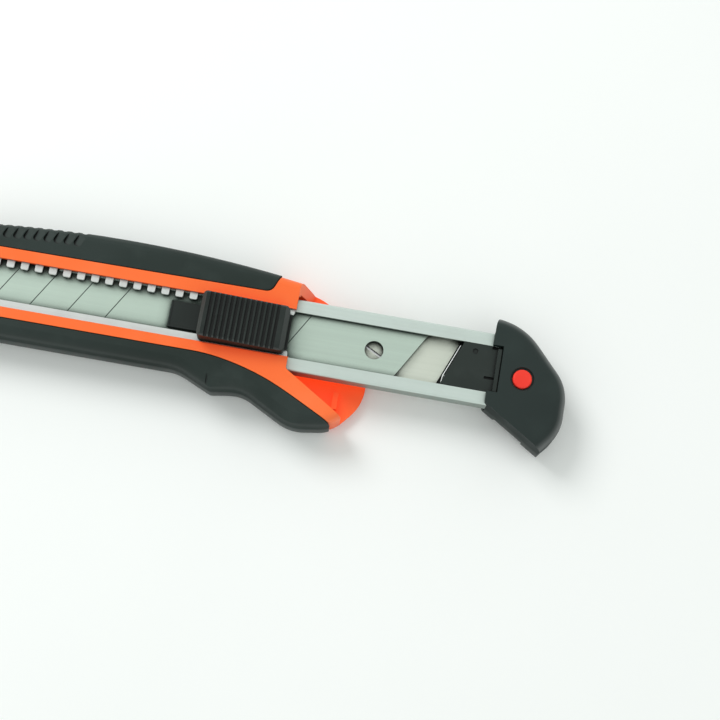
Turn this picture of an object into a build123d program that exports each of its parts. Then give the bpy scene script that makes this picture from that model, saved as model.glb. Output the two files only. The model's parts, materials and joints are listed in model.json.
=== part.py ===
from build123d import *
from math import atan, cos, radians, tan
import os

# A snap-off utility knife with a blade magazine, for 18 mm blades. The knife lies on its back: X runs
# from the blade's end to the rear cap, Y from the cutting edge to the spine, and Z up to the thumb
# slider. The origin is on the flat back, on the blade channel's centre line, where the handle's front
# plate ends and the magazine pulls out. Everything is in millimetres. The magazine stands pulled out,
# and the slider stands at the rear end of its window, where it picks up the next blade.

os.makedirs("parts", exist_ok=True)

# Fits
play = 0.1                    # between a sliding piece and its guide
clear = 0.3                   # round a piece that only has to pass
floor_gap = 0.4               # under the magazine, in the rail
seam = 0.22                   # open line between a grip and the plate

# Blade
blade_width = 18.0
blade_length = 100.0          # between the two slanted ends, along the blade
blade_thick = 0.5
blade_slant = 30.0            # degrees from square
score_pitch = 10.0
score_from_tail = 31.1        # rearmost score line ahead of the tail
score_count = 7
score_width = 0.16
score_depth = 0.12
bevel_width = 1.3
edge_flat = 0.06
hole_radius = 2.5
tail_to_hole = 9.7
spare_count = 3

# Sheet metal
rail_sheet = 0.7
magazine_sheet = 0.7
magazine_depth = 5.0
magazine_lip = 2.8            # from the channel's inner wall to the lip's edge
magazine_length = 118.0
magazine_pull = 52.3
lift_plate_length = 80.0
lift_plate_to_block = 1.1
lift_slit_long = 5.8          # slanted slit in the lift plate, under the blades' holes
lift_slit_wide = 0.7
lift_slit_turn = -27.0
spring_strip = 0.25
spring_bow = 0.3
spring_half = 3.0
spring_end_front = 8.0        # lift spring ends this far behind the lift plate's front
spring_end_rear = 14.0        # and this far ahead of its rear
stop_strip_thick = 0.35
block_length = 11.9
block_slope = 0.39
block_foot = 1.4              # thin foot under the lift plate's rear end
block_foot_thick = 0.4
block_step = 0.3              # block's rear pad below the cap's top face
block_slot_long = 2.6
block_slot_wide = 0.7
block_slot_deep = 0.8
block_slot_y = -2.5
block_dimple = 0.75           # round dimple in the block's top
block_dimple_deep = 0.4
block_dimple_back = 6.3
block_dimple_y = 4.1
block_notch = 0.8             # dark corner left open beside the block's rear pad
block_notch_deep = 1.4
pad_ahead = 0.5               # the rear pad, round the magazine's rear end
pad_behind = 0.5
pad_gap = 0.3

# Handle
thick = 13.0                  # from the back to the front plate
plate = 1.0                   # front plate over the rail
wall = 2.6                    # back wall of the tail
window_half = 6.5
rib_top = 3.1                 # plate beside the window, spine side, at the front
rib_top_rear = 3.75           # and at the upper grip's rear end
rib_low = 2.95                # plate beside the window, edge side
crown = 9.75                  # where the spine's two slopes would meet, above the rail pocket
spine_run = 9.3               # straight run at each end of the spine
shoulder = 2.45               # handle above the rail pocket where the tail begins to fall
shoulder_back = 8.1           # that place, behind the plate's rear edge
horn_long = 4.0               # spine wall's foot behind the plate's rear edge
belly = 2.6                   # handle below the rail pocket
collar = 1.9                  # handle round the rail at its front end
finger_stop = 4.25            # how far the finger stop drops below the belly
finger_stop_at = -18.7
finger_hollow = 1.3           # how far the hollow behind the stop rises again
finger_hollow_at = -10.6
belly_end = -28.2             # where the belly begins to drop towards the finger stop
heel = 12.95                  # how far the tail drops below the rail pocket
tail = 21.4                   # rearmost point behind the plate's rear edge
diagonal_slope = 0.62         # slant of the plate's rear edge, below the magazine
front_round = 2.4
back_round = 2.4
guide_rib_wide = 1.4          # low rib on the tail's inner wall
guide_rib_long = 4.6
guide_rib_up = 7.4            # its lower end above the heel's line

# Grips
grip_proud = 0.5
grip_skin = 2.0
grip_flange = 0.8
grip_from_front = 9.0
grip_to_rear = 7.5            # upper grip's lower corner, ahead of the plate's rear edge
grip_end_lean = 0.39          # its end leans to the rear by this, for each mm towards the spine
scoop_lean = 7.0              # finger scoop behind the stop: its floor rises towards the rear
scoop_fall = 28.0             # and falls towards the edge side, in degrees
scoop_high = 3.2              # its upper corner, above the stop
scoop_ahead = 1.3             # and ahead of the stop
grip_tail = 16.5              # lower grip's rear end, behind the plate's rear edge
groove_count = 13
groove_pitch = 2.67
groove_radius = 1.0
groove_long = 4.4
groove_deep = 0.62
groove_wide = 2.2
groove_lean = 21.0            # degrees from square
groove_tilt = 14.0            # degrees that the cut's floor rises towards the rear
groove_last = -58.8

# Rail
rail_past_handle = 21.0
tooth_pitch = 3.76
tooth_width = 2.05
tooth_show = 1.85             # toothed lip, inside the window
tooth_root = 0.5              # how far the notches reach under the plate
tooth_round = 0.45
low_lip_show = 2.05
lip_corner = 1.3
rail_setback = 0.3
nose_slant = 25.0
tip_cover = 5.0               # rail ahead of the blade's tip
rivet_radius = 1.1
rivet_head = 1.9
rivet_long = 3.2
rivet_front = 12.0            # rail rivets, behind the handle's front
rivet_middle = 46.0
rivet_rear = 14.0             # and ahead of the plate's rear edge
block_rivet_long = 2.0
block_rivet_front = 5.5       # block rivets, ahead of the magazine's rear end
block_rivet_rear = 2.0
block_rivet_side = 4.5        # and out from the centre line

# Slider
slider_length = 23.05
slider_half = 6.1
slider_high = 5.4             # above the front plate, at the front
slider_drop = 1.8             # how much lower the rear is
slider_setback = 1.35
slider_notches = 18
slider_end_room = 2.5
slider_chamfer = 0.5
slider_round = 1.3            # its upright corners
slider_end_slope = 1.1        # slanted strip across its top at each end
slider_heel = 0.7             # low step behind its rear end
slider_heel_high = 0.8
tongue_length = 8.3
tongue_half = 3.65
tongue_step = 0.45            # tongue below the lips' upper face
tongue_rim = 0.45
tongue_recess = 0.2
pin_ahead = 1.2
pin_radius = 2.42
pin_shank = 1.5
pick_overrun = 4.8            # how far the pin stands behind the next blade's hole
rib_count = 14
rib_pitch = 1.353
rib_gap = 0.85
rib_depth = 0.7
rib_band = 2.0                # plain band at the thumb piece's front end
pawl_leaf = 0.35
pawl_length = 8.35
pawl_wide = 1.9
pawl_tooth = 1.1
pawl_bite = 0.65
pawl_lift = 1.0

# Cap and button
cap_wall = 2.0
cap_top = 1.6
cap_base_thick = 1.7
cap_round = 3.2
button_radius = 2.55
button_ring = 0.6
button_ring_deep = 0.8
button_flange = 0.8
button_flange_radius = 3.8
button_proud = 0.2
button_travel = 1.2
button_back = 9.1             # button centre behind the plate's rear edge, cap shut
button_y = -1.6
stem_radius = 1.0
spring_wire = 0.4
spring_radius = 2.0
spring_turns = 5
arm_thick = 1.2
arm_half = 1.1
barb_long = 1.8
strip_long = 1.6              # rail floor left behind the barb's window
screw_radius = 1.0
screw_head = 1.8
screw_long = 4.0
screw_boss = 1.2
screw_low_y = -6.0
screw_high_y = 8.6

# Levels, from the back up
lip_top = thick - plate
lip_low = lip_top - rail_sheet
mag_top = lip_low - play
mag_lip_low = mag_top - magazine_sheet
mag_floor = mag_top - magazine_depth
mag_floor_top = mag_floor + magazine_sheet
rail_floor_top = mag_floor - floor_gap
rail_floor = rail_floor_top - rail_sheet
active_low = mag_lip_low - play - blade_thick
layer = blade_thick + play
lift_low = active_low - (spare_count + 1) * layer
slider_low = lip_top + play
tongue_top = lip_top - tongue_step
slider_top = thick + slider_high
cap_low = wall + clear
cap_floor = cap_low + cap_base_thick
arm_low = cap_low + play
arm_top = arm_low + arm_thick
barb_top = rail_floor_top - play
flange_top = thick - cap_top - play
flange_low = flange_top - button_flange

# Half widths, from the blade out
blade_half = blade_width / 2
mag_inner = blade_half + play
mag_half = mag_inner + magazine_sheet
mag_gap_half = mag_inner - magazine_lip
rail_inner = mag_half + 2 * play
rail_half = rail_inner + rail_sheet
pocket_half = rail_half + play
lip_top_edge = window_half - tooth_show
lip_low_edge = window_half - low_lip_show
rib_top_y = window_half + rib_top
rib_rear_y = window_half + rib_top_rear
rib_low_y = -(window_half + rib_low)
crown_y = pocket_half + crown
shoulder_y = pocket_half + shoulder
belly_y = -(pocket_half + belly)
stop_y = belly_y - finger_stop
heel_y = -(pocket_half + heel)
collar_y = pocket_half + collar

# Stations along the knife
slant = tan(radians(blade_slant))
slider_rear = -slider_setback
slider_front = slider_rear - slider_length
slider_travel = slider_notches * tooth_pitch
tongue_front = slider_front - tongue_length
pin_x = slider_front - pin_ahead
spare_hole = pin_x - pick_overrun + magazine_pull
active_tip = pin_x + tail_to_hole - blade_length - blade_half * slant
rail_front = active_tip - tip_cover
handle_front = rail_front + rail_past_handle
window_front = slider_front - slider_travel - slider_end_room
notch_x = slider_front + pawl_length + tooth_pitch / 2
grip_front = handle_front + grip_from_front
cap_face = magazine_pull + clear
mag_rear = cap_face + cap_wall
mag_front = mag_rear - magazine_length
barb_rear = -rail_setback - strip_long - clear
barb_front = barb_rear - barb_long
block_front = mag_rear - block_length
carriage_rear = block_front - magazine_pull - mag_inner * block_slope - clear
crown_x = (handle_front + shoulder_back) / 2
crown_turn = (atan((crown_y - collar_y) / (crown_x - handle_front))
              + atan((crown_y - shoulder_y) / (shoulder_back - crown_x))) / 2
crown_round = (shoulder_back - crown_x - spine_run) / tan(crown_turn)
far = 60.0                    # beyond any outline


def block(x0, x1, y0, y1, z0, z1):
    return Pos((x0 + x1) / 2, (y0 + y1) / 2, (z0 + z1) / 2) * Box(x1 - x0, y1 - y0, z1 - z0)


def post(x, y, radius, z0, z1):
    return Pos(x, y, (z0 + z1) / 2) * Cylinder(radius, z1 - z0)


def cone(x, y, low_radius, high_radius, z0, z1):
    return Pos(x, y, (z0 + z1) / 2) * Cone(low_radius, high_radius, z1 - z0)


def prism(face, z0, z1):
    return extrude(Pos(0, 0, z0) * face, z1 - z0, dir=(0, 0, 1))


def polygon(*points):
    return make_face(Polyline(*points, close=True))


def near(items, x, y):
    return items.sort_by(lambda item: abs(item.center().X - x) + abs(item.center().Y - y))[0]


def save(name, *solids):
    pieces = [solid for shape in solids for solid in shape.solids()]
    export_step(pieces[0] if len(pieces) == 1 else Compound(pieces), f"parts/{name}.step")


# ---- handle

def handle_outline():
    corners = [
        (handle_front, collar_y, 3.2),
        (crown_x, crown_y, crown_round),
        (shoulder_back, shoulder_y, 17.0),
        (tail, -1.2, 12.0),
        (tail, heel_y + 10.0, 12.0),
        (tail * 0.68, heel_y + 1.7, 10.0),
        (tail * 0.17, heel_y, 11.0),
        (finger_hollow_at, stop_y + finger_hollow, 10.0),
        (finger_stop_at, stop_y, 2.0),
        (belly_end, belly_y, 12.0),
        (handle_front + 14, belly_y, 25.0),
        (handle_front, -collar_y, 3.2),
    ]
    points = [(x, y) for x, y, radius in corners]
    return make_face(FilletPolyline(*points, radius=[radius for x, y, radius in corners], close=True))


def rounded(face, z0, z1, low, high):
    solid = prism(face, z0, z1)
    solid = fillet(solid.faces().sort_by(Axis.Z)[-1].edges(), high)
    return fillet(solid.faces().sort_by(Axis.Z)[0].edges(), low)


def rear_opening(grow=0.0):
    start = -(mag_half - 0.1) - grow
    face = polygon(
        (-grow, far),
        (-grow, start),
        (far, start - diagonal_slope * far),
        (2 * far, start - diagonal_slope * far),
        (2 * far, far),
    )
    return fillet(near(face.vertices(), -grow, start), 1.2)


def upper_region(grow=0.0):
    face = polygon(
        (grip_front - grow, far),
        (grip_front - grow, rib_top_y - grow),
        (-grip_to_rear + grow, rib_rear_y - grow),
        (-grip_to_rear + grow + grip_end_lean * far, rib_rear_y - grow + far),
    )
    face = fillet(near(face.vertices(), grip_front, rib_top_y), 3.0)
    return fillet(near(face.vertices(), -grip_to_rear, rib_rear_y), 2.4)


def lower_region(grow=0.0):
    edge = Spline(
        (-25.0, rib_low_y + grow),
        (-14.2, rib_low_y - 1.25 + grow),
        (-5.4, rib_low_y - 3.75 + grow),
        (3.2, rib_low_y - 7.5 + grow),
        (9.0, rib_low_y - 10.4 + grow),
        (grip_tail, rib_low_y - 14.2 + grow),
        tangents=[(1, 0), (1, -0.55)],
    )
    rest = Polyline(
        edge @ 1,
        (grip_tail, -far),
        (grip_front - grow, -far),
        (grip_front - grow, rib_low_y + grow),
        edge @ 0,
    )
    face = make_face(Wire([*edge.edges(), *rest.edges()]))
    return fillet(near(face.vertices(), grip_front, rib_low_y), 3.0)


def horn(grow=0.0):
    """The spine wall's end behind the plate: it leans back from the plate to the tail's back wall."""
    side = make_face(Polyline(
        (grow, far),
        (grow, thick),
        (horn_long + grow, wall),
        (horn_long + grow, -far),
        (-far, -far),
        (-far, far),
        close=True,
    ))
    return extrude(Plane.XZ.offset(-(mag_half + clear - grow)) * side, -far)


outline = handle_outline()
hull = rounded(outline, 0, thick, back_round, front_round)
skin = rounded(offset(outline, grip_proud), 0, thick, back_round + grip_proud, front_round + grip_proud)
core = prism(offset(outline, -grip_skin), grip_flange, thick - grip_flange)


def grip(region):
    return skin & prism(region, -1, thick + 1) - core


def grip_seat(region):
    return prism(region, -1, thick + 1) - core


def spine_at(x):
    """Height of the spine's arc over the channel's centre line."""
    apex = crown_y - crown_round * (1 / cos(crown_turn) - 1)
    return apex - (x - crown_x) ** 2 / (2 * crown_round)


def groove(x):
    """One groove over the spine edge: a scallop, and on both faces a cut that is deepest at its front."""
    top = spine_at(x) + grip_proud
    scallop = post(x, top + groove_radius * 0.25, groove_radius, -1, thick + 1)
    cut = block(0, groove_wide, -groove_long, 1.5, -groove_deep, 2)
    cut = fillet(cut.edges().filter_by(Axis.Z).sort_by(Axis.Y)[:2], groove_wide * 0.4)
    cut = Pos(x - groove_radius, top, thick) * Rot(0, 0, -groove_lean) * Rot(0, -groove_tilt, 0) * cut
    return scallop + cut + mirror(cut, Plane.XY.offset(thick / 2))


def finger_scoop():
    """Above the front face behind the finger stop: deepest in the lower front corner."""
    cut = block(0, far, -far, 0, 0, far)
    corner = Pos(finger_stop_at - scoop_ahead, stop_y + scoop_high, thick)
    return corner * Rot(scoop_fall, -scoop_lean, 0) * cut


pocket = block(handle_front - 1, tail + 1, -pocket_half, pocket_half, rail_floor, lip_top)
window = block(window_front, far, -window_half, window_half, lip_low, thick + 1)
window = fillet(window.edges().filter_by(Axis.Z).sort_by(Axis.X)[:2], 2.2)
opening = prism(rear_opening(), wall, thick + 1) - horn()
arm_slot = block(
    barb_front - clear,
    button_back + stem_radius + clear,
    button_y - arm_half - clear,
    button_y + arm_half + clear,
    arm_low - button_travel - clear,
    rail_floor,
)
rivet_stations = [handle_front + rivet_front, handle_front + rivet_middle, -rivet_rear]
rivet_holes = [post(x, 0, rivet_radius, rail_floor - rivet_long, rail_floor_top) for x in rivet_stations]

# A low rib on the tail's inner wall guides the cap's base.
rib_x0 = tail * 0.62
rib_x1 = rib_x0 + guide_rib_wide
rib_y0 = heel_y + guide_rib_up
rib_y1 = rib_y0 + guide_rib_long
tail_rib = block(rib_x0, rib_x1, rib_y0, rib_y1, wall, wall + cap_base_thick)
rib_way = block(-far, rib_x1 + clear, rib_y0 - clear, rib_y1 + clear, cap_low - 1, cap_floor)

handle_body = hull - grip_seat(upper_region(seam)) - grip_seat(lower_region(seam))
handle_body = handle_body - pocket - window - opening - arm_slot - rivet_holes + tail_rib
save("handle_body", handle_body)

upper_grip = grip(upper_region())
for index in range(groove_count):
    upper_grip = upper_grip - groove(groove_last - index * groove_pitch)
save("upper_grip", upper_grip)
save("lower_grip", grip(lower_region()) - finger_scoop())


# ---- rail

def rail_notch(x):
    wide = (tooth_pitch - tooth_width) / 2
    return block(x - wide, x + wide, lip_top_edge - 1, window_half + tooth_root, lip_low - 1, thick)


nose = polygon(
    (rail_front - 1, -rail_half - 1),
    (rail_front, -rail_half - 1),
    (rail_front + 2 * (rail_half + 1) * tan(radians(nose_slant)), rail_half + 1),
    (rail_front - 1, rail_half + 1),
)
blade_rail = block(rail_front, -rail_setback, -rail_half, rail_half, rail_floor, lip_top)
blade_rail -= block(rail_front - 1, far, -rail_inner, rail_inner, rail_floor_top, lip_low)
blade_rail -= block(rail_front - 1, far, -lip_low_edge, lip_top_edge, lip_low - 1, thick)
uprights = blade_rail.edges().filter_by(Axis.Z)
rail_ends = [near(uprights, -rail_setback, y) for y in (-lip_low_edge, lip_top_edge)]
blade_rail = fillet(rail_ends, lip_corner)
blade_rail -= prism(nose, 0, thick)
blade_rail -= block(
    barb_front - clear,
    -rail_setback - strip_long,
    button_y - arm_half - clear,
    button_y + arm_half + clear,
    0,
    rail_floor_top + play,
)
blade_rail -= [cone(x, 0, rivet_radius, rivet_head, rail_floor, rail_floor_top) for x in rivet_stations]
notches_ahead = int((notch_x - window_front) / tooth_pitch) + 1
notches_behind = int((-rail_setback - lip_corner - 1 - notch_x) / tooth_pitch)
for index in range(-notches_ahead, notches_behind + 1):
    blade_rail -= rail_notch(notch_x + index * tooth_pitch)
tooth_edges = [
    edge
    for edge in blade_rail.edges().filter_by(Axis.Z)
    if abs(edge.center().Y - lip_top_edge) < 0.01
    and notch_x - (notches_ahead + 0.5) * tooth_pitch < edge.center().X < -lip_corner - rail_setback - 0.1
]
blade_rail = fillet(tooth_edges, tooth_round)
save("blade_rail", blade_rail)

rivet = post(0, 0, rivet_radius, rail_floor - rivet_long, rail_floor)
rivet += cone(0, 0, rivet_radius, rivet_head, rail_floor, rail_floor_top)
save("rail_rivets", *[Pos(x, 0, 0) * rivet for x in rivet_stations])


# ---- blades

def blade(hole_x, low):
    """A blade with its cutting edge towards -Y, slanted ends, score lines on top and a round hole."""
    tail_x = hole_x + tail_to_hole
    front_x = tail_x - blade_length
    top = low + blade_thick
    middle = low + blade_thick / 2
    section = make_face(Polyline(
        (-blade_half, middle - edge_flat / 2),
        (-blade_half, middle + edge_flat / 2),
        (-blade_half + bevel_width, top),
        (blade_half, top),
        (blade_half, low),
        (-blade_half + bevel_width, low),
        close=True,
    ))
    lean = blade_half * slant
    bar = extrude(Plane.YZ.offset(front_x - 2 * lean) * section, blade_length + 4 * lean)
    ends = polygon(
        (front_x - lean, -blade_half),
        (tail_x - lean, -blade_half),
        (tail_x + lean, blade_half),
        (front_x + lean, blade_half),
    )
    made = bar & prism(ends, low - 1, top + 1)
    made -= post(hole_x, 0, hole_radius, low - 1, top + 1)
    for index in range(score_count):
        x = tail_x - score_from_tail - index * score_pitch
        line = polygon(
            (x - lean - score_width / 2, -blade_half - 0.1),
            (x - lean + score_width / 2, -blade_half - 0.1),
            (x + lean + score_width / 2, blade_half + 0.1),
            (x + lean - score_width / 2, blade_half + 0.1),
        )
        made -= prism(line, top - score_depth, top + 1)
    return made


save("active_blade", blade(pin_x, active_low))
for index in range(1, spare_count + 1):
    save(f"spare_blade_{index}", blade(spare_hole, active_low - index * layer))


# ---- slider

thumb_side = polygon(
    (slider_front, slider_low),
    (slider_rear, slider_low),
    (slider_rear, slider_top - slider_drop),
    (slider_front, slider_top),
)
thumb_plan = RectangleRounded(slider_length, 2 * slider_half, slider_round)
thumb = prism(Pos((slider_front + slider_rear) / 2, 0) * thumb_plan, slider_low, slider_top)
thumb &= extrude(Plane.XZ.offset(-slider_half) * thumb_side, 2 * slider_half)
thumb = chamfer(thumb.faces().sort_by(Axis.Z)[-1].edges(), slider_chamfer)
slider_ends = (
    (slider_front + slider_end_slope, slider_top, 45),
    (slider_rear - slider_end_slope, slider_top - slider_drop, 135),
)
for x, z, turn in slider_ends:
    thumb -= Pos(x, 0, z) * Rot(0, turn, 0) * block(-far, 0, -far, far, -far, far)
thumb += block(
    slider_rear - slider_round,
    slider_rear + slider_heel,
    -slider_half + slider_round,
    slider_half - slider_round,
    slider_low,
    slider_low + slider_heel_high,
)
for index in range(rib_count):
    x = slider_front + rib_band + index * rib_pitch
    top = slider_top - slider_drop * (x - slider_front) / slider_length
    thumb -= block(x, x + rib_gap, -far, far, top - rib_depth, thick + far)
pawl_rear = notch_x + pawl_tooth / 2
pawl_front = notch_x - pawl_length
pawl_side = lip_top_edge + pawl_bite
pawl_low = slider_low + clear
thumb -= block(
    pawl_front - play,
    pawl_rear + clear,
    pawl_side - pawl_wide - play,
    pawl_side + 2 * play,
    slider_low - 1,
    pawl_low + pawl_leaf + pawl_lift + play,
)
save("slider_thumb", thumb)

pawl = block(pawl_front, pawl_rear, pawl_side - pawl_wide, pawl_side, pawl_low, pawl_low + pawl_leaf)
pawl += block(
    pawl_rear - pawl_tooth,
    pawl_rear,
    tongue_half + 2 * play,
    pawl_side,
    lip_low + play,
    pawl_low,
)
save("ratchet_pawl", pawl)

wing_top = lip_low - play
carriage = block(tongue_front, slider_front, -tongue_half, tongue_half, mag_lip_low, tongue_top)
carriage -= block(
    tongue_front + tongue_rim,
    slider_front,
    -tongue_half + tongue_rim,
    tongue_half,
    tongue_top - tongue_recess,
    thick,
)
carriage += block(slider_front, carriage_rear, -tongue_half, tongue_half, wing_top, slider_low)
carriage += block(
    slider_front,
    carriage_rear,
    -mag_gap_half + play,
    mag_gap_half - play,
    mag_lip_low,
    wing_top,
)
carriage -= post(pin_x, 0, pin_shank, mag_lip_low - 1, lip_low)
save("slider_carriage", carriage)
save("blade_pin", post(pin_x, 0, pin_radius, active_low, mag_lip_low)
     + post(pin_x, 0, pin_shank, mag_lip_low, lip_low))


# ---- magazine, drawn out

channel = block(mag_front, mag_rear, -mag_half, mag_half, mag_floor, mag_top)
channel -= block(mag_front - 1, far * 2, -mag_inner, mag_inner, mag_floor_top, mag_lip_low)
channel -= block(mag_front - 1, far * 2, -mag_gap_half, mag_gap_half, mag_lip_low - 1, thick)
rivet_spots = [
    (mag_rear - back, side * block_rivet_side)
    for back in (block_rivet_front, block_rivet_rear)
    for side in (-1, 1)
]
channel -= [cone(x, y, rivet_head, rivet_radius, mag_floor, mag_floor_top) for x, y in rivet_spots]
save("magazine_channel", channel)

lean = mag_inner * block_slope
block_plan = polygon(
    (block_front - lean, -mag_inner),
    (mag_rear, -mag_inner),
    (mag_rear, mag_inner),
    (block_front + lean, mag_inner),
)
# The cap is drawn shut and moved out with the magazine.
out = Pos(magazine_pull, 0, 0)
cap_plan = outline & rear_opening(-clear)
cap_inner = offset(cap_plan, -cap_wall)
pad_half = mag_gap_half - play
pad_top = thick - block_step
block_foot_top = mag_floor_top + block_foot_thick
block_rivet_top = mag_floor_top + block_rivet_long
lip_gap = block(-far, mag_rear, -pad_half, pad_half, mag_lip_low, mag_top)
magazine_block = prism(block_plan, mag_floor_top, mag_lip_low)
magazine_block += prism(block_plan, mag_lip_low, mag_top) & lip_gap
magazine_block += prism(Pos(-block_foot, 0) * block_plan, mag_floor_top, block_foot_top)
magazine_block += block(mag_rear - pad_ahead, mag_rear + pad_behind, -pad_half, pad_half, mag_top, pad_top)
magazine_block += block(mag_rear, mag_rear + pad_behind, -pad_half, pad_half, thick - cap_top - 1, mag_top)
flange = block(mag_rear, mag_rear + cap_wall, -mag_half, mag_half, cap_floor, thick - cap_top)
magazine_block += flange & out * prism(cap_inner, cap_floor, thick - cap_top)
magazine_block -= block(
    mag_rear - pad_ahead - block_slot_long,
    mag_rear - pad_ahead,
    block_slot_y - block_slot_wide / 2,
    block_slot_y + block_slot_wide / 2,
    mag_top - block_slot_deep,
    mag_top,
)
magazine_block -= block(
    cap_face,
    mag_rear + cap_wall,
    pad_half - block_notch,
    far,
    mag_top - block_notch_deep,
    thick,
)
magazine_block -= post(
    mag_rear - block_dimple_back,
    block_dimple_y,
    block_dimple,
    mag_top - block_dimple_deep,
    mag_top,
)
magazine_block -= [post(x, y, rivet_radius, mag_floor_top, block_rivet_top) for x, y in rivet_spots]
save("magazine_block", magazine_block)
block_rivet = cone(0, 0, rivet_head, rivet_radius, mag_floor, mag_floor_top)
block_rivet += post(0, 0, rivet_radius, mag_floor_top, block_rivet_top)
save("block_rivets", *[Pos(x, y, 0) * block_rivet for x, y in rivet_spots])

plate_rear = block_front - lift_plate_to_block
plate_front = plate_rear - lift_plate_length
plate_half = blade_half - play
plate_lean = plate_half * block_slope
lift_plate = prism(polygon(
    (plate_front, -plate_half),
    (plate_rear - plate_lean, -plate_half),
    (plate_rear + plate_lean, plate_half),
    (plate_front, plate_half),
), lift_low, lift_low + blade_thick)
slit = Pos(spare_hole, 0, lift_low) * Rot(0, 0, lift_slit_turn) * Box(lift_slit_long, lift_slit_wide, 2)
save("lift_plate", lift_plate - slit)

bow_front = plate_front + spring_end_front
bow_rear = plate_rear - spring_end_rear
bow = make_face(Wire([
    ThreePointArc((bow_front, mag_floor_top), ((bow_front + bow_rear) / 2, mag_floor_top + spring_bow),
                  (bow_rear, mag_floor_top)).edge(),
    Line((bow_rear, mag_floor_top), (bow_rear, mag_floor_top + spring_strip)).edge(),
    ThreePointArc((bow_rear, mag_floor_top + spring_strip),
                  ((bow_front + bow_rear) / 2, mag_floor_top + spring_bow + spring_strip),
                  (bow_front, mag_floor_top + spring_strip)).edge(),
    Line((bow_front, mag_floor_top + spring_strip), (bow_front, mag_floor_top)).edge(),
]))
save("lift_spring", extrude(Plane.XZ.offset(-spring_half) * bow, 2 * spring_half))

strip_mid = block_front - lift_plate_to_block / 2
strip_half = mag_gap_half - play
strip_lean = strip_half * block_slope
save("stop_strip", prism(polygon(
    (strip_mid - strip_lean - stop_strip_thick / 2, -strip_half),
    (strip_mid - strip_lean + stop_strip_thick / 2, -strip_half),
    (strip_mid + strip_lean + stop_strip_thick / 2, strip_half),
    (strip_mid + strip_lean - stop_strip_thick / 2, strip_half),
), block_foot_top, mag_lip_low - play))


# ---- cap

cap_solid = prism(cap_plan, cap_low, thick)
outer_top = [
    edge
    for edge in cap_solid.faces().sort_by(Axis.Z)[-1].edges()
    if edge.center().X > clear + 0.01 and edge.center().Y > -diagonal_slope * edge.center().X - mag_half + 1
]
cap_solid = fillet(outer_top, cap_round) - horn(clear)
screw_spots = [(tail * 0.78, screw_low_y), (tail * 0.36, screw_high_y)]

shell = cap_solid & block(-far, far, -far, far, cap_floor, thick + 1)
shell -= prism(cap_inner, cap_floor - 1, thick - cap_top)
shell += [post(x, y, screw_radius + screw_boss, cap_floor, thick - cap_top) for x, y in screw_spots]
shell -= [post(x, y, screw_radius, cap_floor - 1, cap_floor + screw_long) for x, y in screw_spots]
shell -= block(-far, clear + cap_wall, -mag_half, mag_half, 0, mag_top)
shell -= block(
    -far,
    clear + cap_wall + pad_behind + pad_gap,
    -mag_gap_half,
    mag_gap_half,
    0,
    thick + 1,
)
shell -= post(button_back, button_y, button_radius + play, cap_floor, thick + 1)
shell -= post(button_back, button_y, button_radius + button_ring, thick - button_ring_deep, thick + 1)
save("end_cap", out * shell)

base = cap_solid & block(-far, far, -far, far, cap_low - 1, cap_floor)
base -= rib_way
base -= block(
    -far,
    button_back + stem_radius + clear,
    button_y - arm_half - clear,
    button_y + arm_half + clear,
    0,
    cap_floor,
)
base -= [cone(x, y, screw_head, screw_radius, cap_low, cap_floor) for x, y in screw_spots]
save("cap_base", out * base)
cap_screw = cone(0, 0, screw_head, screw_radius, cap_low, cap_floor)
cap_screw += post(0, 0, screw_radius, cap_floor, cap_floor + screw_long)
save("cap_screws", *[out * Pos(x, y, 0) * cap_screw for x, y in screw_spots])


# ---- release button

button = post(button_back, button_y, button_radius, flange_top, thick + button_proud)
button = fillet(button.faces().sort_by(Axis.Z)[-1].edges(), 0.5)
button += post(button_back, button_y, button_flange_radius, flange_low, flange_top)
button += post(button_back, button_y, stem_radius, arm_top, flange_low)
save("release_button", out * button)

arm_y0 = button_y - arm_half
arm_y1 = button_y + arm_half
arm = block(barb_front, button_back + stem_radius, arm_y0, arm_y1, arm_low, arm_top)
arm += block(barb_front, barb_rear, arm_y0, arm_y1, arm_top, barb_top)
save("latch_arm", out * arm)

coil_low = cap_floor + spring_wire / 2
coil_high = flange_low - spring_wire / 2
coil_pitch = (coil_high - coil_low) / spring_turns
coil = Pos(0, 0, coil_low) * Helix(coil_pitch, coil_high - coil_low, spring_radius)
wire = Plane(origin=coil @ 0, z_dir=coil % 0) * Circle(spring_wire / 2)
save("button_spring", out * Pos(button_back, button_y, 0) * sweep(wire, path=coil))
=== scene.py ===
import bpy
import json
from math import radians, sin, cos, tan
from mathutils import Matrix, Vector


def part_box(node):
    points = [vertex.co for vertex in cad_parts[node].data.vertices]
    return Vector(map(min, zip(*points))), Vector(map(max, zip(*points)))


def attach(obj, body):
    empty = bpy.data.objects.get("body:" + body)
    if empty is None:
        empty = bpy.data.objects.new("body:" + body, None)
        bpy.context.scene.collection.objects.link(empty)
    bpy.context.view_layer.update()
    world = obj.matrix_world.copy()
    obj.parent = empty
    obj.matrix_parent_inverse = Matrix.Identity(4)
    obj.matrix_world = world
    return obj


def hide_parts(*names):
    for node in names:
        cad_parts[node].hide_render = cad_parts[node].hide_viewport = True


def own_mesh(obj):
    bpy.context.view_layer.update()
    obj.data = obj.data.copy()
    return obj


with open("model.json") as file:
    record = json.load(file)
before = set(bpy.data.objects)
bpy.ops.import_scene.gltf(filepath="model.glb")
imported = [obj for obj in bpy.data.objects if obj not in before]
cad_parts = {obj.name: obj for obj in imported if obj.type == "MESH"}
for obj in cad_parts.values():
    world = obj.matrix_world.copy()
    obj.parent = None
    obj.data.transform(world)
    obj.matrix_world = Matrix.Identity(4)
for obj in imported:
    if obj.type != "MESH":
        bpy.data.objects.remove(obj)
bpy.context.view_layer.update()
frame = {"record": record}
print("stage: frame loaded")

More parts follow.
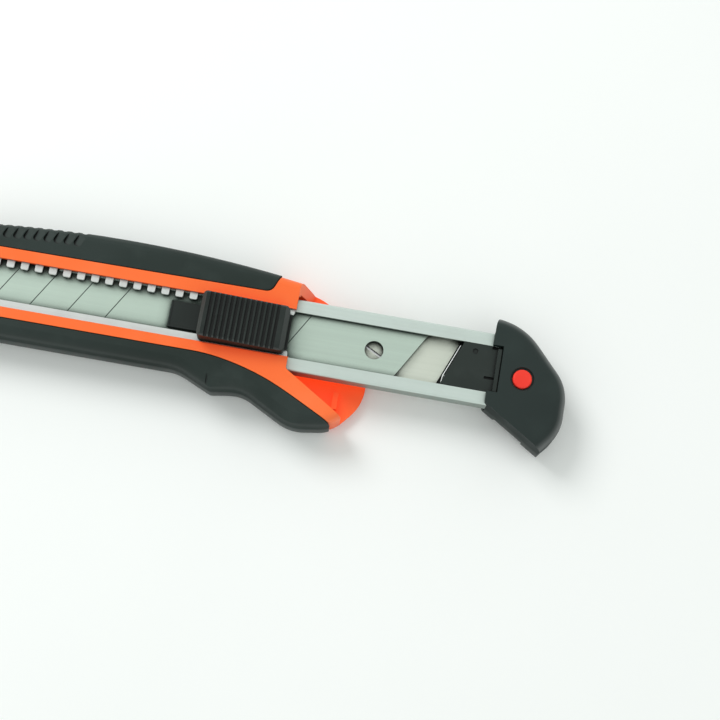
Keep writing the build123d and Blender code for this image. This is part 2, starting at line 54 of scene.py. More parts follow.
mm = 0.001    # the shapes' sizes are in millimetres, and those in finishes and lights in metres
record = frame["record"]
bodyOf = {node: body for body, nodes in record["behaviour"]["bodies"].items() for node in nodes}


def deselectAll():
    if bpy.context.object and bpy.context.object.mode != "OBJECT":
        bpy.ops.object.mode_set(mode="OBJECT")
    bpy.ops.object.select_all(action="DESELECT")


def pickOnly(piece):
    deselectAll()
    piece.select_set(True)
    bpy.context.view_layer.objects.active = piece


def applyModifiers(piece):
    pickOnly(piece)
    for modifier in list(piece.modifiers):
        bpy.ops.object.modifier_apply(modifier=modifier.name)


copyLook = {
    "merge": 0.004,         # points closer than this are one
    "flat": 0.6,            # faces that turn less than this are one, in degrees
}


def cadCopy(node, name):
    # a merged copy of a CAD node, with its flat faces made whole
    source = bpy.data.objects[node]
    piece = bpy.data.objects.new(name, source.data.copy())
    bpy.context.scene.collection.objects.link(piece)
    piece.data.materials.clear()
    pickOnly(piece)
    bpy.ops.object.mode_set(mode="EDIT")
    bpy.ops.mesh.select_all(action="SELECT")
    bpy.ops.mesh.remove_doubles(threshold=copyLook["merge"] * mm)
    bpy.ops.mesh.dissolve_limited(angle_limit=radians(copyLook["flat"]))
    bpy.ops.object.mode_set(mode="OBJECT")
    return piece


def selectEdges(piece, wanted):
    # leaves the piece in edit mode with the wanted edges selected
    pickOnly(piece)
    bpy.ops.object.mode_set(mode="EDIT")
    bpy.ops.mesh.select_mode(type="EDGE")
    bpy.ops.mesh.select_all(action="DESELECT")
    bpy.ops.object.mode_set(mode="OBJECT")
    points = piece.data.vertices
    for edge in piece.data.edges:
        a, b = (points[index].co for index in edge.vertices)
        edge.select = wanted(a, b)
    bpy.ops.object.mode_set(mode="EDIT")


edgeLook = {
    "segments": 2,
    "sharpest": 32,         # edges that turn more than this are softened, in degrees
    "smooth": 40,           # faces that turn less than this shade as one, in degrees
}


def softenEdges(piece, width):
    bevel = piece.modifiers.new("edges", "BEVEL")
    bevel.width = width
    bevel.segments = edgeLook["segments"]
    bevel.limit_method = "ANGLE"
    bevel.angle_limit = radians(edgeLook["sharpest"])
    applyModifiers(piece)
    pickOnly(piece)
    bpy.ops.object.shade_smooth_by_angle(angle=radians(edgeLook["smooth"]))
    flatten = piece.modifiers.new("flatten", "WEIGHTED_NORMAL")
    flatten.keep_sharp = True
    applyModifiers(piece)


def settle(piece):
    # the finished piece's place goes into its mesh
    pickOnly(piece)
    bpy.ops.object.transform_apply(location=True, rotation=True, scale=True)


def dress(piece, material, node):
    # the piece takes the CAD node's place
    piece.data.materials.clear()
    piece.data.materials.append(material)
    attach(piece, bodyOf[node])
    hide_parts(node)


def newGroup(name, inputs, outputs):
    group = bpy.data.node_groups.new(name, "ShaderNodeTree")
    for label, kind, value in inputs:
        socket = group.interface.new_socket(name=label, in_out="INPUT", socket_type=kind)
        socket.default_value = value
    for label, kind in outputs:
        group.interface.new_socket(name=label, in_out="OUTPUT", socket_type=kind)
    return group, group.nodes.new("NodeGroupInput"), group.nodes.new("NodeGroupOutput")


def addNode(tree, kind, **settings):
    node = tree.nodes.new(kind)
    for key, value in settings.items():
        setattr(node, key, value)
    return node


def feed(tree, socket, value):
    # a number or a colour is set on the socket, and an output is linked to it
    if isinstance(value, (int, float, tuple)):
        socket.default_value = value
    else:
        tree.links.new(value, socket)


def mathNode(tree, operation, a, b=None):
    node = addNode(tree, "ShaderNodeMath", operation=operation)
    feed(tree, node.inputs[0], a)
    if b is not None:
        feed(tree, node.inputs[1], b)
    return node.outputs[0]


def mixColours(tree, factor, a, b):
    node = addNode(tree, "ShaderNodeMix", data_type="RGBA")
    for index, value in ((0, factor), (6, a), (7, b)):    # the sockets that a colour mix uses
        feed(tree, node.inputs[index], value)
    return node.outputs[2]


def rangeNode(tree, value, given, wanted, curve="LINEAR"):
    # the value's range from given[0] to given[1] becomes wanted[0] to wanted[1]
    node = addNode(tree, "ShaderNodeMapRange", interpolation_type=curve)
    tree.links.new(value, node.inputs["Value"])
    for label, number in zip(("From Min", "From Max", "To Min", "To Max"), (*given, *wanted)):
        feed(tree, node.inputs[label], number)
    return node.outputs[0]


def noiseNode(tree, vector, scale, detail, roughness=0.5):
    node = addNode(tree, "ShaderNodeTexNoise")
    node.inputs["Detail"].default_value = detail
    node.inputs["Roughness"].default_value = roughness
    tree.links.new(vector, node.inputs["Vector"])
    feed(tree, node.inputs["Scale"], scale)
    return node.outputs[0]


def splitVector(tree, vector):
    # its three measures, along the knife, across it and upwards
    split = addNode(tree, "ShaderNodeSeparateXYZ")
    tree.links.new(vector, split.inputs[0])
    return split.outputs


def buildGrainGroup():
    # moulded surface: fine bumps, broad tone changes, and rubbed patches
    group, given, out = newGroup(
        "mouldGrain",
        [
            ("Vector", "NodeSocketVector", (0, 0, 0)),
            ("Grain Scale", "NodeSocketFloat", 2600.0),
            ("Patch Scale", "NodeSocketFloat", 90.0),
        ],
        [("Height", "NodeSocketFloat"), ("Tone", "NodeSocketFloat"), ("Patch", "NodeSocketFloat")],
    )
    vector, patchScale = given.outputs["Vector"], given.outputs["Patch Scale"]
    toneScale = mathNode(group, "MULTIPLY", patchScale, 0.31)    # tones change more broadly than patches
    height = noiseNode(group, vector, given.outputs["Grain Scale"], detail=3, roughness=0.6)
    group.links.new(height, out.inputs["Height"])
    group.links.new(noiseNode(group, vector, toneScale, detail=2), out.inputs["Tone"])
    group.links.new(noiseNode(group, vector, patchScale, detail=4, roughness=0.55), out.inputs["Patch"])
    return group


def buildBrushGroup():
    # rolled or ground metal: streaks along the knife, and soft stains
    group, given, out = newGroup(
        "metalBrush",
        [
            ("Vector", "NodeSocketVector", (0, 0, 0)),
            ("Streak Scale", "NodeSocketFloat", 900.0),
            ("Stretch", "NodeSocketFloat", 0.03),
            ("Stain Scale", "NodeSocketFloat", 60.0),
        ],
        [("Streak", "NodeSocketFloat"), ("Stain", "NodeSocketFloat")],
    )
    squeeze = addNode(group, "ShaderNodeVectorMath", operation="MULTIPLY")
    combine = addNode(group, "ShaderNodeCombineXYZ")
    group.links.new(given.outputs["Stretch"], combine.inputs[0])
    combine.inputs[1].default_value = 1.0
    combine.inputs[2].default_value = 1.0
    group.links.new(given.outputs["Vector"], squeeze.inputs[0])
    group.links.new(combine.outputs[0], squeeze.inputs[1])
    streak = noiseNode(group, squeeze.outputs[0], given.outputs["Streak Scale"], detail=4, roughness=0.65)
    stain = noiseNode(group, given.outputs["Vector"], given.outputs["Stain Scale"], detail=5)
    group.links.new(streak, out.inputs["Streak"])
    group.links.new(stain, out.inputs["Stain"])
    return group


def buildScoreGroup():
    # slanted score lines across a blade, counted from its tail, and the ground bevel along its edge
    group, given, out = newGroup(
        "scoreLines",
        [
            ("Vector", "NodeSocketVector", (0, 0, 0)),
            ("Tail", "NodeSocketFloat", 0.0),
            ("Pitch", "NodeSocketFloat", 0.01),
            ("Slant", "NodeSocketFloat", 0.577),
            ("Width", "NodeSocketFloat", 0.0002),
            ("Unscored", "NodeSocketFloat", 0.025),
            ("Bevel Top", "NodeSocketFloat", -0.0077),
        ],
        [("Score", "NodeSocketFloat"), ("Bevel", "NodeSocketFloat")],
    )
    along, across = splitVector(group, given.outputs["Vector"])[:2]
    width, pitch = given.outputs["Width"], given.outputs["Pitch"]
    lean = mathNode(group, "MULTIPLY", across, given.outputs["Slant"])
    fromTail = mathNode(group, "SUBTRACT", given.outputs["Tail"], mathNode(group, "SUBTRACT", along, lean))
    counted = mathNode(group, "DIVIDE", fromTail, pitch)
    offLine = mathNode(group, "SUBTRACT", counted, mathNode(group, "ROUND", counted))
    away = mathNode(group, "MULTIPLY", mathNode(group, "ABSOLUTE", offLine), pitch)
    core = mathNode(group, "MULTIPLY", width, 0.45)    # darkest up to here, then fading to the width
    line = rangeNode(group, away, (core, width), (1, 0), "SMOOTHSTEP")
    scored = mathNode(group, "GREATER_THAN", fromTail, given.outputs["Unscored"])
    group.links.new(mathNode(group, "MULTIPLY", line, scored), out.inputs["Score"])
    group.links.new(mathNode(group, "LESS_THAN", across, given.outputs["Bevel Top"]), out.inputs["Bevel"])
    return group


mouldGrain = buildGrainGroup()
metalBrush = buildBrushGroup()
scoreLines = buildScoreGroup()


def newMaterial(name):
    material = bpy.data.materials.new(name)
    material.use_nodes = True
    tree = material.node_tree
    shader = tree.nodes["Principled BSDF"]
    coords = addNode(tree, "ShaderNodeTexCoord")
    return material, tree, shader, coords.outputs["Object"]


def placeGroup(tree, group, coords, **values):
    node = addNode(tree, "ShaderNodeGroup", node_tree=group)
    tree.links.new(coords, node.inputs["Vector"])
    for key, value in values.items():
        node.inputs[key].default_value = value
    return node


def bumpFrom(tree, height, strength, distance):
    bump = addNode(tree, "ShaderNodeBump")
    bump.inputs["Strength"].default_value = strength
    bump.inputs["Distance"].default_value = distance
    tree.links.new(height, bump.inputs["Height"])
    return bump.outputs[0]


def creviceMask(tree, reach, span):
    # ambient occlusion: 1 in the open, 0 at the bottom of a crevice; shade and glow are painted into colour
    # by it
    cover = addNode(tree, "ShaderNodeAmbientOcclusion", samples=8)
    cover.inputs["Distance"].default_value = reach
    return rangeNode(tree, cover.outputs["AO"], span, (0, 1))


def upwardness(tree):
    # 1 on faces that look up, 0 on side walls, and -1 on the knife's back
    shape = addNode(tree, "ShaderNodeNewGeometry")
    return splitVector(tree, shape.outputs["Normal"])[2]


# where one finish gives way to the next: values of the noise, of upwardness, or heights in metres
mouldSpans = {
    "tone": (0.35, 0.65),
    "patch": (0.5, 0.72),
    "rough": (0.3, 0.7),
    "floor": (0.2, 0.8),    # from a wall to a floor that looks up
    "face": (0.2, 0.5),     # from a side wall to a flat face
    "foot": (0.003, 0.0075),    # from a side wall's foot to its upper part
}


def mouldedMaterial(name, look):
    material, tree, shader, coords = newMaterial(name)
    links = tree.links
    grain = placeGroup(tree, mouldGrain, coords, **{
        "Grain Scale": look["grainScale"],
        "Patch Scale": look["patchScale"],
    })
    height = splitVector(tree, coords)[2]
    toneMask = rangeNode(tree, grain.outputs["Tone"], mouldSpans["tone"], (0, 1))
    colour = mixColours(tree, toneMask, look["dark"], look["light"])
    patchMask = rangeNode(tree, grain.outputs["Patch"], mouldSpans["patch"], (0, look["patchAmount"]))
    colour = mixColours(tree, patchMask, colour, look["rubbed"])
    # painted shade: crevices, grooves and seams take a darker colour where the occlusion mask finds them
    # covered
    if "creviceShade" in look:
        opened = creviceMask(tree, look["deepReach"], look["deepRange"])
        colour = mixColours(tree, opened, look["creviceShade"], colour)
    if "seamShade" in look:
        # painted shade: a near-black colour in the narrow seams of the front plate, where shade falls
        below = rangeNode(tree, height, look["seamHeight"], (1, 0))
        outsideSeamShade = mathNode(tree, "MAXIMUM", creviceMask(tree, look["seamReach"], look["seamRange"]), below)
        colour = mixColours(tree, outsideSeamShade, look["seamShade"], colour)
    if "paintedGlow" in look:
        # painted light: the plastic emits an orange glow on inner floors and in crevices, where little
        # light gets in
        inner = rangeNode(tree, upwardness(tree), mouldSpans["floor"], (1, 0))
        glow = mixColours(tree, mathNode(tree, "MAXIMUM", opened, inner), look["paintedGlow"], (0, 0, 0, 1))
        links.new(mixColours(tree, outsideSeamShade, (0, 0, 0, 1), glow), shader.inputs["Emission Color"])
        shader.inputs["Emission Strength"].default_value = look["paintedGlowStrength"]
    links.new(colour, shader.inputs["Base Color"])
    rough = rangeNode(tree, grain.outputs["Patch"], mouldSpans["rough"], look["rough"])
    links.new(rough, shader.inputs["Roughness"])
    bumps = bumpFrom(tree, grain.outputs["Height"], look["bump"], look["bumpDepth"])
    links.new(bumps, shader.inputs["Normal"])
    # side walls are duller than the face, except near the foot, and the turn between them is rubbed shiny
    up = mathNode(tree, "ABSOLUTE", upwardness(tree))
    wall = rangeNode(tree, height, mouldSpans["foot"], (look["footSpecular"], look["wallSpecular"]))
    face = rangeNode(tree, up, mouldSpans["face"], (wall, look["specular"]))
    rising = rangeNode(tree, up, look["rimStart"], (0, look["rim"]))
    turn = mathNode(tree, "MULTIPLY", rising, rangeNode(tree, up, look["rimEnd"], (1, 0)))
    links.new(mathNode(tree, "ADD", face, turn), shader.inputs["Specular IOR Level"])
    return material


metalSpans = {"streak": (0.3, 0.7), "stain": (0.45, 0.75), "rough": (0.3, 0.7), "side": (0.15, 0.65)}


def metalMaterial(name, look, marks=None):
    # marks is a function that draws on the plain colour before the shader takes it
    material, tree, shader, coords = newMaterial(name)
    links = tree.links
    brush = placeGroup(tree, metalBrush, coords, **{
        "Streak Scale": look["streakScale"],
        "Stretch": look["stretch"],
        "Stain Scale": look["stainScale"],
    })
    streakMask = rangeNode(tree, brush.outputs["Streak"], metalSpans["streak"], (0, 1))
    colour = mixColours(tree, streakMask, look["dark"], look["light"])
    stainMask = rangeNode(tree, brush.outputs["Stain"], metalSpans["stain"], (0, look["stainAmount"]))
    colour = mixColours(tree, stainMask, colour, look["stain"])
    if marks:
        colour = marks(tree, coords, colour)
    # painted shade: side walls take a darker colour
    if "side" in look:
        up = mathNode(tree, "ABSOLUTE", upwardness(tree))
        colour = mixColours(tree, rangeNode(tree, up, metalSpans["side"], (0, 1)), look["side"], colour)
    # painted shade: crevices take a darker colour where the occlusion mask finds them covered
    if "creviceShade" in look:
        opened = creviceMask(tree, look["deepReach"], look["deepRange"])
        colour = mixColours(tree, opened, look["creviceShade"], colour)
    links.new(colour, shader.inputs["Base Color"])
    rough = rangeNode(tree, brush.outputs["Stain"], metalSpans["rough"], look["rough"])
    links.new(rough, shader.inputs["Roughness"])
    bumps = bumpFrom(tree, brush.outputs["Streak"], look["bump"], look["bumpDepth"])
    links.new(bumps, shader.inputs["Normal"])
    shader.inputs["Metallic"].default_value = look["metallic"]
    return material


orangeLook = {
    "dark": (0.97, 0.155, 0.030, 1),
    "light": (1.0, 0.175, 0.040, 1),
    "rubbed": (1.0, 0.22, 0.075, 1),
    # painted shade: the darker red of crevices and of the tail's shaded inside
    "creviceShade": (0.80, 0.045, 0.004, 1),
    "deepReach": 0.012,     # how far apart a crevice's walls may be
    "deepRange": (0.25, 0.92),    # how open it is at its deepest, and at its edge
    # painted light: the glow emitted on shaded inner floors
    "paintedGlow": (1.0, 0.075, 0.015, 1),
    "paintedGlowStrength": 0.62,
    # painted shade: the near-black of the narrow seams
    "seamShade": (0.012, 0.004, 0.002, 1),
    "seamReach": 0.0013,
    "seamRange": (0.66, 0.88),
    "seamHeight": (0.0112, 0.0117),    # lower down no seam shade is painted
    "patchAmount": 0.35,
    "rough": (0.34, 0.46),
    "grainScale": 2200.0,
    "patchScale": 70.0,
    "bump": 0.05,
    "bumpDepth": 0.00005,
    "specular": 0.35,
    "wallSpecular": 0.3,
    "footSpecular": 0.3,
    "rim": 0.3,             # extra shine on the turn from a wall to the face
    "rimStart": (0.2, 0.4),
    "rimEnd": (0.5, 0.75),
}
rubberLook = {
    "dark": (0.010, 0.018, 0.015, 1),
    "light": (0.018, 0.028, 0.025, 1),
    "rubbed": (0.030, 0.042, 0.038, 1),
    # painted shade: the black of the seams round the grips
    "creviceShade": (0.001, 0.001, 0.001, 1),
    "deepReach": 0.0008,
    "deepRange": (0.66, 0.93),
    "patchAmount": 0.5,
    "rough": (0.40, 0.54),
    "grainScale": 3000.0,
    "patchScale": 110.0,
    "bump": 0.25,
    "bumpDepth": 0.00008,
    "specular": 0.30,
    "wallSpecular": 0.03,
    "footSpecular": 0.8,
    "rim": 0.12,
    "rimStart": (0.05, 0.2),
    "rimEnd": (0.35, 0.6),
}
blackLook = {
    "dark": (0.008, 0.012, 0.0105, 1),
    "light": (0.016, 0.023, 0.020, 1),
    "rubbed": (0.030, 0.038, 0.035, 1),
    # painted shade: the black of the slider's grooves and other crevices
    "creviceShade": (0.001, 0.001, 0.001, 1),
    "deepReach": 0.0012,
    "deepRange": (0.45, 0.9),
    "patchAmount": 0.5,
    "rough": (0.36, 0.52),
    "grainScale": 2600.0,
    "patchScale": 130.0,
    "bump": 0.14,
    "bumpDepth": 0.00005,
    "specular": 0.32,
    "wallSpecular": 0.1,
    "footSpecular": 0.1,
    "rim": 0.6,
    "rimStart": (0.2, 0.4),
    "rimEnd": (0.6, 0.85),
}
capLook = {
    "dark": (0.006, 0.013, 0.012, 1),
    "light": (0.011, 0.020, 0.018, 1),
    "rubbed": (0.020, 0.032, 0.029, 1),
    "patchAmount": 0.4,
    "rough": (0.40, 0.54),
    "grainScale": 2600.0,
    "patchScale": 90.0,
    "bump": 0.14,
    "bumpDepth": 0.00006,
    "specular": 0.35,
    "wallSpecular": 0.06,
    "footSpecular": 0.5,
    "rim": 1.1,
    "rimStart": (0.1, 0.35),
    "rimEnd": (0.6, 0.92),
}
redLook = {
    "dark": (0.86, 0.030, 0.016, 1),
    "light": (0.95, 0.050, 0.026, 1),
    "rubbed": (0.96, 0.10, 0.06, 1),
    "patchAmount": 0.3,
    "rough": (0.30, 0.40),
    "grainScale": 2600.0,
    "patchScale": 200.0,
    "bump": 0.06,
    "bumpDepth": 0.00005,
    "specular": 0.4,
    "wallSpecular": 0.4,
    "footSpecular": 0.4,
    "rim": 0.2,
    "rimStart": (0.2, 0.4),
    "rimEnd": (0.5, 0.75),
}
railLook = {
    "dark": (0.65, 0.67, 0.66, 1),
    "light": (0.73, 0.755, 0.74, 1),
    "stain": (0.50, 0.50, 0.50, 1),
    # painted shade: the dark of the gaps between the teeth and under the lips
    "creviceShade": (0.05, 0.06, 0.05, 1),
    "deepReach": 0.0012,
    "deepRange": (0.1, 0.55),
    "stainAmount": 0.4,
    "rough": (0.28, 0.40),
    "streakScale": 1500.0,
    "stretch": 0.03,
    "stainScale": 120.0,
    "bump": 0.08,
    "bumpDepth": 0.00003,
    "metallic": 0.65,
}
bladeLook = {
    "dark": (0.49, 0.59, 0.52, 1),
    "light": (0.53, 0.64, 0.56, 1),
    "stain": (0.46, 0.54, 0.47, 1),
    "score": (0.10, 0.13, 0.11, 1),
    "bevel": (0.62, 0.68, 0.64, 1),
    # painted shade: dark under the lips and teeth, and beside the slider
    "creviceShade": (0.02, 0.03, 0.025, 1),
    "deepReach": 0.005,
    "deepRange": (0.44, 0.86),
    "stainAmount": 0.3,
    "rough": (0.30, 0.42),
    "streakScale": 1100.0,
    "stretch": 0.012,
    "stainScale": 90.0,
    "bump": 0.10,
    "bumpDepth": 0.00003,
    "metallic": 0.6,
    "slant": 30.0,          # of the score lines, in degrees
    "tailOffset": 6.296,    # from the tail's rearmost point to where the pitches are counted from
}
activeLook = {**bladeLook, "deepReach": 0.0035, "deepRange": (0.52, 0.95)}
channelLook = {
    "dark": (0.58, 0.66, 0.62, 1),
    "light": (0.63, 0.71, 0.67, 1),
    "stain": (0.52, 0.57, 0.54, 1),
    # painted shade: the darker colour of the side walls
    "side": (0.27, 0.32, 0.29, 1),
    # painted shade: the dark of crevices
    "creviceShade": (0.04, 0.05, 0.04, 1),
    "deepReach": 0.0012,
    "deepRange": (0.25, 0.6),
    "stainAmount": 0.4,
    "rough": (0.34, 0.46),
    "streakScale": 700.0,
    "stretch": 0.05,
    "stainScale": 160.0,
    "bump": 0.08,
    "bumpDepth": 0.00003,
    "metallic": 0.6,
}
plateLook = {
    "dark": (0.67, 0.71, 0.62, 1),
    "light": (0.73, 0.77, 0.68, 1),
    "stain": (0.63, 0.65, 0.57, 1),
    # painted shade: the dark band under the channel's lips and by the blades' tails
    "creviceShade": (0.015, 0.018, 0.012, 1),
    "deepReach": 0.004,
    "deepRange": (0.38, 0.62),
    "stainAmount": 0.4,
    "rough": (0.34, 0.46),
    "streakScale": 900.0,
    "stretch": 0.02,
    "stainScale": 90.0,
    "bump": 0.08,
    "bumpDepth": 0.00003,
    "metallic": 0.6,
}
springLook = {
    "dark": (0.66, 0.66, 0.67, 1),
    "light": (0.82, 0.82, 0.83, 1),
    "stain": (0.50, 0.50, 0.50, 1),
    "stainAmount": 0.3,
    "rough": (0.22, 0.34),
    "streakScale": 1500.0,
    "stretch": 0.05,
    "stainScale": 120.0,
    "bump": 0.05,
    "bumpDepth": 0.00003,
    "metallic": 0.95,
}


def bladeMaterial(name, look, node):
    # the score lines are counted from this blade's own tail
    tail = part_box(node)[1][0] - look["tailOffset"] * mm

    def marks(tree, coords, colour):
        lines = placeGroup(tree, scoreLines, coords, Tail=tail, Slant=tan(radians(look["slant"])))
        colour = mixColours(tree, lines.outputs["Bevel"], colour, look["bevel"])
        return mixColours(tree, lines.outputs["Score"], colour, look["score"])

    return metalMaterial(name, look, marks)


orangePlastic = mouldedMaterial("orangePlastic", orangeLook)
gripRubber = mouldedMaterial("gripRubber", rubberLook)
blackPlastic = mouldedMaterial("blackPlastic", blackLook)
capPlastic = mouldedMaterial("capPlastic", capLook)
redPlastic = mouldedMaterial("redPlastic", redLook)
railSteel = metalMaterial("railSteel", railLook)
activeSteel = bladeMaterial("activeSteel", activeLook, "active_blade")
spareSteel = bladeMaterial("spareSteel", bladeLook, "spare_blade_1")
channelSteel = metalMaterial("channelSteel", channelLook)
plateSteel = metalMaterial("plateSteel", plateLook)
springSteel = metalMaterial("springSteel", springLook)
print("stage: materials")


# the finish of each CAD node that keeps its form
nodeFinish = {
    "handle_body": orangePlastic,
    "upper_grip": gripRubber,
    "lower_grip": gripRubber,
    "blade_rail": railSteel,
    "rail_rivets": springSteel,
    "slider_thumb": blackPlastic,
    "slider_carriage": blackPlastic,
    "blade_pin": springSteel,
    "ratchet_pawl": springSteel,
    "active_blade": activeSteel,
    "magazine_channel": channelSteel,
    "magazine_block": blackPlastic,
    "block_rivets": springSteel,
    "lift_plate": plateSteel,
    "lift_spring": springSteel,
    "spare_blade_1": spareSteel,
    "spare_blade_2": spareSteel,
    "spare_blade_3": spareSteel,
    "end_cap": capPlastic,
    "cap_base": capPlastic,
    "cap_screws": springSteel,
    "release_button": redPlastic,
    "latch_arm": springSteel,
}
# how far the edges of the larger pieces are softened
softened = {
    "handle_body": 0.20,
    "upper_grip": 0.28,
    "lower_grip": 0.28,
    "blade_rail": 0.08,
    "slider_thumb": 0.12,
    "slider_carriage": 0.08,
    "magazine_channel": 0.10,
    "magazine_block": 0.10,
    "end_cap": 0.18,
    "cap_base": 0.12,
    "release_button": 0.10,
}
foldLook = {
    "nodes": ("magazine_channel", "blade_rail"),
    "radius": 0.6,          # of the outer bends
    "segments": 4,
    "shortest": 1.0,        # shorter edges are no fold
    "reach": 0.02,          # how near the box's sides a fold lies
}


def roundFolds(piece, node):
    # the outer bends of folded strip, along the knife
    low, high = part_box(node)
    reach = foldLook["reach"] * mm

    def isFold(a, b):
        outside = abs(abs(a.y) - high[1]) < reach and abs(a.y - b.y) < reach
        ends = min(abs(a.z - low[2]), abs(a.z - high[2])) < reach and abs(a.z - b.z) < reach
        return outside and ends and abs(a.x - b.x) > foldLook["shortest"] * mm

    selectEdges(piece, isFold)
    bpy.ops.mesh.bevel(offset=foldLook["radius"] * mm, segments=foldLook["segments"], affect="EDGES")
    bpy.ops.object.mode_set(mode="OBJECT")


def finishNode(node, material):
    if node not in softened:
        surface = bpy.data.objects[node].data
        surface.materials.clear()
        surface.materials.append(material)
        return
    piece = cadCopy(node, node + "_dressed")
    if node in foldLook["nodes"]:
        roundFolds(piece, node)
    softenEdges(piece, softened[node] * mm)
    dress(piece, material, node)


for node, material in nodeFinish.items():
    finishNode(node, material)


def makeButtonSpring():
    # a merged copy of the coil, dressed in spring steel, with a mesh of its own
    node = "button_spring"
    spring = cadCopy(node, node + "_dressed")
    dress(spring, springSteel, node)
    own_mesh(spring)


makeButtonSpring()
print("stage: pieces dressed")


# the bent wire at the spare blades' tails
stopWire = {
    "radius": 0.17,
    "sides": 12,
    "bend": 0.3,            # radius of its bends
    "bendSteps": 5,
    "merge": 0.001,
    "smooth": 50,
    "strip": 0.35,          # thickness of the strip that it stands for
    "shift": 0.12,          # towards the block
    "top": 5.3,             # its ends, across the knife
    "foot": -3.6,
    "drop": 2.4,            # down into the block at both ends
    "hub": 0.3,             # its two short ends start this far above its foot
    "hooks": ((0.75, -1.0, 1.0), (-0.25, -2.2, 0.6)),    # how far each runs along, across and down
    "hookTurn": 80,
}


def bentWire(name, start, heading, steps, look):
    # a round end is drawn along straight runs and spun round each bend
    place, heading = Vector(start), Vector(heading).normalized()
    radius, bend = look["radius"] * mm, look["bend"] * mm
    facing = heading.to_track_quat("Z", "Y").to_euler()
    deselectAll()
    bpy.ops.mesh.primitive_circle_add(
        vertices=look["sides"], radius=radius, fill_type="NGON", location=place, rotation=facing)
    wire = bpy.context.object
    wire.name = name
    settle(wire)
    bpy.ops.object.mode_set(mode="EDIT")
    bpy.ops.mesh.select_all(action="SELECT")
    for run, turn, towards in steps:
        bpy.ops.mesh.extrude_region_move(TRANSFORM_OT_translate={"value": heading * run})
        place = place + heading * run
        if turn:
            axis = heading.cross(Vector(towards)).normalized()
            centre = place + axis.cross(heading) * bend
            # with no window the spin turns backwards, so its angle is negative
            bpy.ops.mesh.spin(steps=look["bendSteps"], angle=-turn, center=centre, axis=axis)
            swing = Matrix.Rotation(turn, 3, axis)
            place = centre + swing @ (place - centre)
            heading = swing @ heading
    bpy.ops.mesh.select_all(action="SELECT")
    bpy.ops.mesh.remove_doubles(threshold=look["merge"] * mm)
    bpy.ops.mesh.normals_make_consistent(inside=False)
    bpy.ops.object.mode_set(mode="OBJECT")
    bpy.ops.object.shade_smooth_by_angle(angle=radians(look["smooth"]))
    return wire


def makeStopWire(look):
    low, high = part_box("stop_strip")
    bend, drop = look["bend"] * mm, look["drop"] * mm
    top, foot = look["top"] * mm, look["foot"] * mm
    lean = (high[0] - low[0] - look["strip"] * mm) / (high[1] - low[1])
    middle = (low[0] + high[0]) / 2 + look["shift"] * mm
    level = high[2] - look["radius"] * mm
    along = Vector((-lean, -1, 0)).normalized()
    length = (top - foot) / -along.y
    down = Vector((0, 0, -1))
    wire = bentWire("stop_wire", (middle + lean * top, top, level - drop), -down, [
        (drop - bend, radians(90), along),
        (length - 2 * bend, radians(90), down),
        (drop - bend, 0, down),
    ], look)
    hub = Vector((middle + lean * foot, foot + look["hub"] * mm, level))
    parts = [wire]
    for index, (forward, across, sink) in enumerate(look["hooks"]):
        way = Vector((forward, across, 0)) * mm
        parts.append(bentWire(f"stop_wire_end_{index}", hub, way, [
            (way.length, radians(look["hookTurn"]), down),
            (sink * mm, 0, down),
        ], look))
    pickOnly(wire)
    for part in parts:
        part.select_set(True)
    bpy.ops.object.join()
    dress(wire, springSteel, "stop_strip")


makeStopWire(stopWire)
print("stage: stop wire")


floorLook = {
    "size": 6.0,
    "dark": (0.945, 0.962, 0.95, 1),
    "light": (0.965, 0.98, 0.97, 1),
    "mottleScale": 9.0,
    "mottleSpan": (0.3, 0.7),
    "roughness": 0.9,
    "specular": 0.1,
}


def stageFloor(look):
    deselectAll()
    bpy.ops.mesh.primitive_plane_add(size=look["size"], location=(0, 0, 0))
    floor = bpy.context.object
    floor.name = "floor"
    material, tree, shader, coords = newMaterial("paleFloor")
    cloud = noiseNode(tree, coords, look["mottleScale"], detail=3)
    mottle = rangeNode(tree, cloud, look["mottleSpan"], (0, 1))
    tree.links.new(mixColours(tree, mottle, look["dark"], look["light"]), shader.inputs["Base Color"])
    shader.inputs["Roughness"].default_value = look["roughness"]
    shader.inputs["Specular IOR Level"].default_value = look["specular"]
    floor.data.materials.append(material)


stageFloor(floorLook)

lampLook = {
    "key": {"place": (-0.52, 0.42, 0.66), "size": 0.5, "power": 4.0},
    "fill": {"place": (0.55, -0.5, 0.7), "size": 0.8, "power": 1.0},
}


def placeLamp(name, lamp):
    light = bpy.data.lights.new(name, "AREA")
    light.shape = "DISK"
    light.size = lamp["size"]
    light.energy = lamp["power"]
    holder = bpy.data.objects.new(name, light)
    bpy.context.scene.collection.objects.link(holder)
    holder.location = lamp["place"]
    holder.rotation_mode = "QUATERNION"
    holder.rotation_quaternion = Vector(lamp["place"]).to_track_quat("Z", "Y")
    holder.visible_glossy = False


for name, lamp in lampLook.items():
    placeLamp(name, lamp)

worldLook = {
    "colour": (0.93, 0.97, 0.945, 1),
    "light": 0.70,          # what it lights with
    "level": 1.0,           # what the camera sees, and reflections near the horizon
    "overhead": 0.85,       # what reflections see above
    "gradeSpan": (0.35, 0.95),
    "window": (-0.62, 0.50, 0.60),
    "windowLight": 1.6,
    "windowSpan": (0.88, 0.97),
}


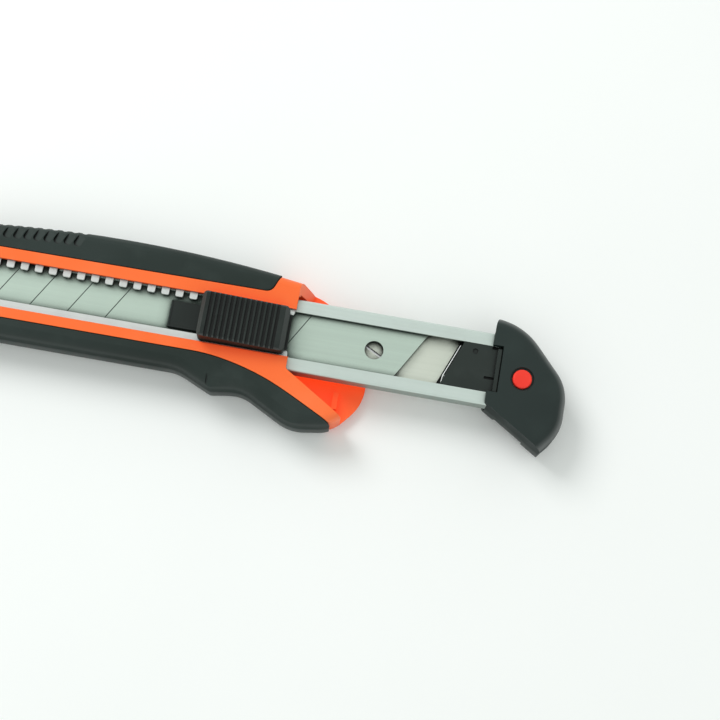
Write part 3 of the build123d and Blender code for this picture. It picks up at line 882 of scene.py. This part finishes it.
def skyStrength(tree, look):
    # lights plainly; the camera and reflections see it paler, and palest near the horizon
    path = addNode(tree, "ShaderNodeLightPath")
    mirrored = mathNode(tree, "MAXIMUM", path.outputs["Is Glossy Ray"], path.outputs["Is Transmission Ray"])
    coords = addNode(tree, "ShaderNodeTexCoord")
    upward = splitVector(tree, coords.outputs["Generated"])[2]
    graded = rangeNode(tree, upward, look["gradeSpan"], (look["level"], look["overhead"]), "SMOOTHSTEP")
    # a broad bright window towards the key lamp, seen only in reflections
    facing = addNode(tree, "ShaderNodeVectorMath", operation="DOT_PRODUCT")
    tree.links.new(coords.outputs["Generated"], facing.inputs[0])
    facing.inputs[1].default_value = Vector(look["window"]).normalized()
    towards = facing.outputs["Value"]
    window = rangeNode(tree, towards, look["windowSpan"], (0, look["windowLight"]), "SMOOTHSTEP")
    lit = rangeNode(tree, mirrored, (0, 1), (look["light"], mathNode(tree, "ADD", graded, window)))
    return rangeNode(tree, path.outputs["Is Camera Ray"], (0, 1), (lit, look["level"]))


def makeWorld(look):
    world = bpy.data.worlds.new("paleWorld")
    world.use_nodes = True
    bpy.context.scene.world = world
    tree = world.node_tree
    sky = tree.nodes["Background"]
    sky.inputs["Color"].default_value = look["colour"]
    tree.links.new(skyStrength(tree, look), sky.inputs["Strength"])


makeWorld(worldLook)

cameraLook = {
    "lens": 85.0,
    "sensor": 36.0,
    "near": 0.01,
    "far": 20.0,
    "distance": 0.444,
    "elevation": 76.0,
    "azimuth": 0.0,
    "roll": 9.92,
    "target": (0.0187, -0.0041, 0.013),
}


def placeCamera(look):
    data = bpy.data.cameras.new("camera")
    data.lens = look["lens"]
    data.sensor_width = look["sensor"]
    data.clip_start = look["near"]
    data.clip_end = look["far"]
    camera = bpy.data.objects.new("camera", data)
    bpy.context.scene.collection.objects.link(camera)
    turn, rise = radians(look["azimuth"]), radians(look["elevation"])
    back = Vector((sin(turn) * cos(rise), -cos(turn) * cos(rise), sin(rise)))
    camera.location = Vector(look["target"]) + back * look["distance"]
    camera.rotation_mode = "QUATERNION"
    level = back.to_track_quat("Z", "Y")
    camera.rotation_quaternion = level @ Matrix.Rotation(radians(look["roll"]), 3, "Z").to_quaternion()
    bpy.context.scene.camera = camera


placeCamera(cameraLook)
bpy.context.scene.view_settings.view_transform = "Standard"
print("stage: floor, light and camera")
